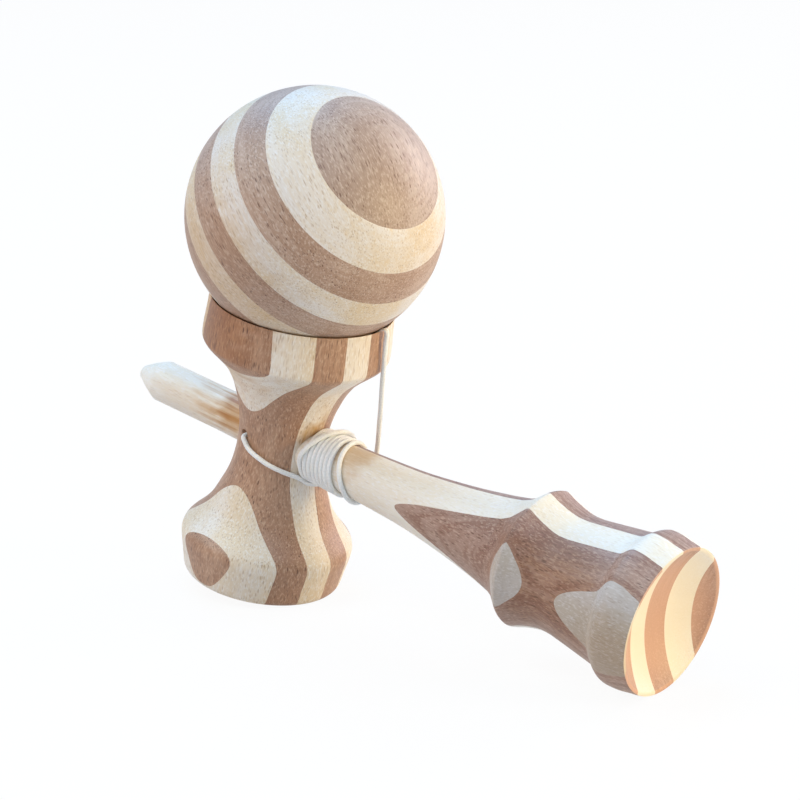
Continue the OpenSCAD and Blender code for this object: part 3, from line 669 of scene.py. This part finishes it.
def make_ball():
    whole = ball_mesh()
    boards = dict(BALL_BOARDS, origin=BALL_CENTRE)
    for i in range(board_count(boards)):
        tones = shade(i, DARK if i else CAP_DARK_PAINTED_SHEEN, LIGHT)
        dress(board(whole, boards, i), f"ball_layer_{i + 1}", "ball", tones, BALL_FIBRE, boards,
              BALL_PAINTED_WARM_SHADE)
    whole.free()


def make_cross():
    whole = drill_cross(cross_mesh())
    middle = Vector((0, 0, 0))
    for i in range(board_count(CROSS_BOARDS)):
        tones = shade(i, CROSS_DARK, CROSS_LIGHT)
        if i in PARTED_BOARDS:
            for cup, away in (("big", -Z_AXIS), ("small", Z_AXIS)):
                dress(board(whole, CROSS_BOARDS, i, (middle, away)), f"{cup}_cup_side_{i + 1}",
                      "cross_piece", tones, Z_AXIS, CROSS_BOARDS, [CUP_STAIN, WALL_PAINTED_SHADE])
        else:
            dress(board(whole, CROSS_BOARDS, i), f"cross_layer_{i + 1}", "cross_piece", tones,
                  Z_AXIS, CROSS_BOARDS, CROSS_STAINS if i == BORE_BOARD else [CUP_STAIN])
    whole.free()


def make_handle():
    whole = handle_mesh()
    bmesh.ops.transform(whole, matrix=Matrix.Rotation(math.pi / 2, 4, "Y"), verts=whole.verts)
    neck = Vector((NECK_X, 0, 0))
    for node, away in (("handle_island_grip", X_AXIS), ("handle_island_cup", -X_AXIS)):
        dress(board(whole, HANDLE_BOARDS, 0, (neck, away)), node, "handle", GREY_PAINTED_SHADE, X_AXIS,
              HANDLE_BOARDS, ISLAND_PAINTED_SHADE)
    for i in range(1, board_count(HANDLE_BOARDS)):
        dress(board(whole, HANDLE_BOARDS, i), f"handle_layer_{i + 1}", "handle",
              shade(i + 1, HANDLE_DARK, WHITE_PAINTED_LIT), X_AXIS, HANDLE_BOARDS,
              {1: NECK_PAINTED_SHADE, 2: HANDLE_STAINS_AND_WARM_LIGHT}.get(i))
    whole.free()


make_ball()
make_cross()
make_handle()

# The string: thickness, strands and pitch of its braid, its bump, its colours, and the ramps by
# which the braid is shaded and the string is soiled
STRING_D = 1.15
BRAID_STRANDS, BRAID_PITCH = 5, 1.5
STRING_BUMP, STRING_RELIEF, FUZZ_RISE = 0.6, 0.06, 0.6
STRING_CLEAN, STRING_SOILED, STRING_SHADED = (srgb(253, 252, 250), srgb(244, 240, 230),
                                              srgb(220, 218, 213))
BRAID_RAMP, SOIL_RAMP = (-0.4, 0.5, 0.3, 0), (0.45, 0.75, 0, 0.4)

# Its route in the toy's own frame: from the waist's hole to the handle, and after the winding up
# to the big cup's rim, over the rim, under the ball and into it
WAIST_PATH = [
    (-2.94, -8.08, 1.5), (-3.28, -9.02, 1.5), (-3.4, -9.9, 1.4), (-3.1, -10.6, 1.1),
    (-2.3, -10.9, 0.5), (-1.45, -10.95, -0.35), (-0.3, -11.05, -1), (1.2, -11, -1.55),
    (2.8, -10.75, -2.1), (4.4, -10.2, -2.75), (5.85, -9.5, -3.25), (7.35, -8.4, -3.85),
    (8.3, -7.5, -4.25), (9.2, -6.5, -4.65), (10.1, -5.2, -5.2), (10.7, -4.3, -5.7),
    (11.1, -3.6, -6.2)]
RISER_PATH = [
    (22.9, 6.9, 1), (22.9, 6.9, 3), (22.9, 6.6, 7), (22.8, 6.2, 11), (22.8, 5.8, 14.5),
    (22.8, 5.3, 18), (22.8, 4.8, 21.5), (22.8, 4.4, 25), (22.8, 4, 28), (22.8, 3.6, 31),
    (22.8, 3.5, 32), (22.8, 3.5, 32.8)]
RIM_PATH = [
    (22.8, 3.5, 32.8), (22.8, 3.5, 33.6), (22.7, 3.4, 34.5), (22.3, 3.3, 35), (21.75, 3.2, 34.8),
    (21.2, 3.1, 34.5), (20.7, 3.02, 34), (20.2, 2.95, 33.5), (19.6, 2.8, 32.7), (18.9, 2.2, 31.7),
    (18.3, 0.8, 30.8), (18, -1.2, 30.2), (17.5, -3.7, 29.7), (16.6, -6.3, 29.3),
    (15.5, -8.8, 29.1), (14.3, -11.1, 29.1), (13.5, -12.5, 29.2), (12.9, -13.3, 29.5)]
# Thickness and width shares of the string where the ball pinches it on the rim
RIM_FLAT = [(1, 1), (1, 1), (0.9, 1.1), (0.55, 1.3), (0.35, 1.5), (0.26, 1.5), (0.26, 1.5),
            (0.26, 1.5), (0.35, 1.4), (0.8, 1.1)]
ENTRY_PATH = [(12.9, -13.3, 29.5), (12.3, -14.1, 29.8), (11.8, -14.9, 30.5), (11.3, -15.5, 31.4)]
ENTRY_STEPS = 9
STRING_TOP = END_KNOT_Z - KNOT_R
IN_BALL = [
    tuple(BALL_CENTRE + HOLE_DIR * (k / ENTRY_STEPS * STRING_TOP - (1 - k / ENTRY_STEPS) * BALL_R))
    for k in range(ENTRY_STEPS + 1)]
# The stretch under the ball and the one inside it are shown as one piece
LAST_PATH = RIM_PATH + ENTRY_PATH[1:] + IN_BALL

# The winding, by turns from its start under the handle, where angle 0 is the front
START_ANGLE = -60
FIRST_TURNS, CLOSE_TURNS = 1.833, 6
WIDE_TURNS = FIRST_TURNS + CLOSE_TURNS
ALL_TURNS = WIDE_TURNS + 1.5
COIL_X, TURN_PITCH, TURN_LEAN = 12.3, 1.2, 1
COIL_EASE = 0.05
# Points to a turn, and the part of a turn over which places are evened out
LOOP_RINGS = 24
EVENING = 0.05
# By turns: places of the crossing first turns, extra places of the wide last ones, and how far
# the first turns are lifted over the others, in string thicknesses
FIRST_PLACES = [(0, 11.1), (0.08, 12.2), (0.2, 14.4), (0.33, 16.2), (0.46, 16.8), (0.58, 16.1),
                (0.63, 15.2), (0.67, 14.3), (0.71, 13.4), (0.75, 12.4), (0.79, 11.4), (0.82, 10.95),
                (0.88, 10.95), (1, 11.1), (1.2, 11.45), (1.4, 11.78)]
WIDE_PLACES = [(0, 0), (0.25, 0.3), (0.5, 0.8), (0.75, 1.7), (0.87, 2), (0.95, 2.8), (1, 3.4),
               (1.08, 4.4), (1.25, 4.6), (1.5, 2.9)]
LIFT_SHARES = [(0, 1), (0.77, 1), (0.79, 0.95), (0.84, 0.4), (0.88, 0)]


def lookup(value, pairs):
    return float(np.interp(value, [p[0] for p in pairs], [p[1] for p in pairs]))


def turn_x(t):
    if t < FIRST_PLACES[-1][0]:
        return lookup(t, FIRST_PLACES)
    lean_share = min(max(t - FIRST_TURNS, 0), CLOSE_TURNS) / CLOSE_TURNS
    return (COIL_X + (min(t, WIDE_TURNS) - FIRST_TURNS) * TURN_PITCH
            + lookup(max(t - WIDE_TURNS, 0), WIDE_PLACES)
            + lean_share * TURN_LEAN * (0.5 - math.sin(math.radians(START_ANGLE - 360 * t))))


def turn_point(t):
    x = (turn_x(t - EVENING) + turn_x(t) + turn_x(t + EVENING)) / 3
    shaft_r = lookup(x, [(p[1], p[0]) for p in [Vector((SPIKE_ROOT_R, -SEAT_BACK))] + SHAFT])
    r = shaft_r + STRING_D / 2 + COIL_EASE + lookup(t, LIFT_SHARES) * STRING_D
    a = math.radians(START_ANGLE - 360 * t)
    return (x, -r * math.cos(a), r * math.sin(a))


def first_stretch():
    """Out of the waist's hole, round the handle and to the foot of the riser."""
    route = [Vector(p) for p in WAIST_PATH]
    route.append(route[-1] + (route[-1] - route[-2]).normalized() * STRING_D / 2)
    route += [Vector(turn_point(k / LOOP_RINGS)) for k in range(1, int(LOOP_RINGS * ALL_TURNS) + 1)]
    return route + [Vector(RISER_PATH[0]) - Z_AXIS * STRING_D / 2, Vector(RISER_PATH[0])]


def string_material():
    """White braided cotton: strands crossing both ways round the string."""
    material, nodes, shader = new_material("white_string")
    along = nodes.add("ShaderNodeAttribute", attribute_name="along").outputs["Fac"]
    around = nodes.add("ShaderNodeAttribute", attribute_name="around").outputs["Fac"]
    turn = nodes.math("MULTIPLY", around, BRAID_STRANDS * 2 * math.pi)
    climb = nodes.math("MULTIPLY", along, 2 * math.pi / BRAID_PITCH)
    ways = [nodes.math("SINE", nodes.math(lean, turn, climb)) for lean in ("ADD", "SUBTRACT")]
    braid = nodes.math("MAXIMUM", *ways)
    place = nodes.add("ShaderNodeTexCoord").outputs["Object"]
    fuzz = nodes.noise(place, scale=9000)
    soil = nodes.noise(place, scale=260)
    colour = nodes.mix(nodes.ramp(soil, *SOIL_RAMP), STRING_CLEAN, STRING_SOILED)
    colour = nodes.mix(nodes.ramp(braid, *BRAID_RAMP), colour, STRING_SHADED)
    nodes.feed(shader.inputs["Base Color"], colour)
    shader.inputs["Roughness"].default_value = 0.75
    shader.inputs["Sheen Weight"].default_value = 0.25
    relief = nodes.math("ADD", braid, nodes.math("MULTIPLY", fuzz, FUZZ_RISE))
    nodes.bump(shader, relief, STRING_BUMP, STRING_RELIEF)
    return material


WHITE_STRING = string_material()


def tube(name, route, diameter, flats=None, closed=False, sides=16, step=0.3, first_side=None):
    """A round tube along a smooth curve through the route, with its braid coordinates."""
    fine = smooth(route, steps=8)
    gaps = [0.0]
    for a, b in zip(fine, fine[1:]):
        gaps.append(gaps[-1] + (b - a).length)
    count = max(int(gaps[-1] / step), 8)
    places = np.linspace(0, gaps[-1], count + 1)
    line = [Vector([np.interp(s, gaps, [p[k] for p in fine]) for k in range(3)]) for s in places]
    shares = np.linspace(0, len(flats or [0]) - 1, len(fine))
    ahead = [(line[min(i + 1, count)] - line[max(i - 1, 0)]).normalized() for i in range(count + 1)]
    if closed:
        line, ahead = line[:-1], ahead[:-1]
        ahead[0] = (line[1] - line[-1]).normalized()
    side = (first_side or ahead[0].orthogonal()).copy()
    bm = bmesh.new()
    along = bm.verts.layers.float.new("along")
    around = bm.verts.layers.float.new("around")
    rows = []
    for i, (point, forward) in enumerate(zip(line, ahead)):
        side = (side - forward * side.dot(forward)).normalized()
        other = forward.cross(side)
        thick = wide = 1
        if flats:
            share = np.interp(places[i], gaps, shares)
            thick = np.interp(share, range(len(flats)), [f[0] for f in flats])
            wide = np.interp(share, range(len(flats)), [f[1] for f in flats])
        row = []
        for k in range(sides):
            a = 2 * math.pi * k / sides
            offset = side * (math.cos(a) * thick) + other * (math.sin(a) * wide)
            vert = bm.verts.new(point + offset * diameter / 2)
            vert[along] = places[i]
            vert[around] = abs(2 * k / sides - 1)
            row.append(vert)
        rows.append(row)
    for low, high in zip(rows, rows[1:] + ([rows[0]] if closed else [])):
        for k in range(sides):
            n = (k + 1) % sides
            bm.faces.new((low[k], low[n], high[n], high[k]))
    if not closed:
        for row in (rows[0][::-1], rows[-1]):
            bm.faces.new(row)
    bmesh.ops.recalc_face_normals(bm, faces=bm.faces)
    piece = mesh_object(bm, name)
    shaded(piece, SHARP_STRING)
    piece.data.materials.append(WHITE_STRING)
    return piece, [row_point(p)[:] for p in line], gaps[-1] * MM


def string_piece(name, nodes, route, flats=None, first_side=None):
    piece, path, length = tube(name, route, STRING_D, flats, first_side=first_side)
    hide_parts(*nodes)
    return piece


# A knot's trefoil: its points, the knot's radius and the trefoil's rise in units of its curve,
# and the knot's radius in radii of its thread
TREFOIL_POINTS, TREFOIL_REACH, TREFOIL_RISE, TREFOIL_THREAD = 60, 3.9, 1.3, 3.6


def knot(name, node, body, centre, radius):
    """A tight overhand knot: a thin string led along a trefoil that fills a small sphere."""
    turns = [2 * math.pi * k / TREFOIL_POINTS for k in range(TREFOIL_POINTS + 1)]
    size = radius / TREFOIL_REACH
    route = [centre + Vector((math.sin(a) + 2 * math.sin(2 * a), math.cos(a) - 2 * math.cos(2 * a),
                              -TREFOIL_RISE * math.sin(3 * a))) * size for a in turns]
    piece, _, _ = tube(name, route, 2 * radius / TREFOIL_THREAD, closed=True, sides=12, step=0.15)
    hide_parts(node)
    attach(piece, body)


def make_string():
    turns = string_piece("string_out_and_round", ("string_waist", "string_winding"),
                         first_stretch())
    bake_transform(turns)
    riser = string_piece("string_up_to_cup", ("string_riser",), RISER_PATH)
    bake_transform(riser)
    flats = RIM_FLAT + [(1, 1)] * (len(LAST_PATH) - len(RIM_FLAT))
    last = string_piece("string_under_and_in_ball", ("string_rim", "string_last"), LAST_PATH,
                        flats, Vector(RIM_PATH[0]) - BALL_CENTRE)
    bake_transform(last)
    start = direction(math.pi / 2, KNOT_HOLE_TURN) * KNOT_AT + Z_AXIS * KNOT_RISE
    knot("knot_in_cross_piece", "string_start_knot", "cross_piece", start, KNOT_R)
    end = BALL_CENTRE + HOLE_DIR * END_KNOT_Z
    knot("knot_in_ball", "string_end_knot", "ball_stop", end, KNOT_R)


make_string()


def make_bead():
    start = math.degrees(math.asin((BEAD_HOLE_R + BEAD_EDGE) / BEAD_R)) - 90
    outline = arc((0, 0), (BEAD_R, BEAD_R), start, -start, steps=40)
    top = math.sqrt(BEAD_R ** 2 - (BEAD_HOLE_R + BEAD_EDGE) ** 2)
    step = BEAD_EDGE / 3
    outline += [Vector((BEAD_HOLE_R + step, top - step)), Vector((BEAD_HOLE_R, top - BEAD_EDGE)),
                Vector((BEAD_HOLE_R, BEAD_EDGE - top)), Vector((BEAD_HOLE_R + step, step - top))]
    bm = turned(outline, segments=64, closed=True)
    place = Matrix.Translation(BALL_CENTRE + HOLE_DIR * BEAD_Z)
    bmesh.ops.transform(bm, matrix=place @ turned_to(HOLE_DIR), verts=bm.verts)
    piece = mesh_object(bm, "wooden_bead")
    shaded(piece, SHARP_WOOD)
    tones = dict(LIGHT, base=srgb(206, 164, 112), deep=srgb(178, 130, 82))
    piece.data.materials.append(bamboo("bead_wood", tones, HOLE_DIR, HOLE_DIR.orthogonal(), "bead"))
    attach(piece, "ball_stop")
    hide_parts("bead")


make_bead()

# The floor's half width in metres, its colour, and the white glow that the camera sees on it
FLOOR_SIZE, FLOOR_COLOUR, FLOOR_GLOW, FLOOR_GLOW_SHARE = 4, srgb(215, 215, 215), 1.02, 0.92
PURE_WHITE = (1, 1, 1, 1)


def make_floor():
    """A pale floor that shows white to the camera but keeps a soft shadow."""
    bm = bmesh.new()
    bmesh.ops.create_grid(bm, x_segments=1, y_segments=1, size=FLOOR_SIZE)
    floor = mesh_object(bm, "floor", Matrix.Identity(4))
    material, nodes, shader = new_material("floor_white")
    nodes.feed(shader.inputs["Base Color"], FLOOR_COLOUR)
    shader.inputs["Roughness"].default_value = 0.9
    rays = nodes.add("ShaderNodeLightPath")
    seen = nodes.math("MAXIMUM", rays.outputs["Is Camera Ray"], rays.outputs["Is Glossy Ray"])
    glow = nodes.add("ShaderNodeEmission")
    glow.inputs["Color"].default_value = PURE_WHITE
    glow.inputs["Strength"].default_value = FLOOR_GLOW
    share = nodes.math("MULTIPLY", seen, FLOOR_GLOW_SHARE)
    output = next(n for n in material.node_tree.nodes if n.bl_idname == "ShaderNodeOutputMaterial")
    nodes.blend(output, share, shader, glow)
    floor.data.materials.append(material)


# The six lamps: name, place, width, power and colour
LIGHTS_AIM = (-0.01, 0, 0.06)
LIGHTS = [
    ("sky_behind", (-0.547, 0.277, 1.01), 0.9, 9, (0.22, 0.56, 1.0)),
    ("sky_left", (-0.444, -0.661, 0.96), 0.8, 7, (0.85, 0.97, 1.0)),
    ("sky_front", (0.44, -0.409, 1.06), 0.7, 4.2, (0.48, 0.7, 1.0)),
    ("warm_right", (0.992, 0.344, 0.31), 0.5, 8.2, (1.0, 0.81, 0.48)),
    ("behind_right", (0.247, 0.966, 0.41), 0.6, 4.7, (1.0, 0.93, 1.0)),
    ("low_left", (-0.61, -0.855, 0.21), 0.6, 1.6, (1.0, 0.4, 0.15))]


def area_light(name, at, size, power, colour):
    light = bpy.data.objects.new(name, bpy.data.lights.new(name, "AREA"))
    bpy.context.scene.collection.objects.link(light)
    light.data.shape = "DISK"
    light.data.size = size
    light.data.energy = power
    light.data.color = colour
    light.location = at
    way = Vector(LIGHTS_AIM) - Vector(at)
    light.rotation_euler = way.to_track_quat("-Z", "Y").to_euler()


FILL_COLOUR, REFLECTED_COLOUR = (0.22, 0.19, 0.13, 1), (0.36, 0.52, 0.76, 1)


def make_world():
    """White to the camera, pale blue in reflections and a faint fill for the rest."""
    world = bpy.data.worlds.new("world")
    bpy.context.scene.world = world
    world.use_nodes = True
    world.node_tree.nodes.clear()
    nodes = Nodes(world.node_tree)
    rays = nodes.add("ShaderNodeLightPath")
    light = nodes.add("ShaderNodeBackground")
    sky = nodes.mix(rays.outputs["Is Glossy Ray"], FILL_COLOUR, REFLECTED_COLOUR)
    nodes.feed(light.inputs["Color"], sky)
    light.inputs["Strength"].default_value = 1
    white = nodes.add("ShaderNodeBackground")
    white.inputs["Color"].default_value = PURE_WHITE
    output = nodes.add("ShaderNodeOutputWorld")
    nodes.blend(output, rays.outputs["Is Camera Ray"], light, white)


make_floor()
make_world()
for light_row in LIGHTS:
    area_light(*light_row)
bpy.context.scene.view_settings.view_transform = "Standard"
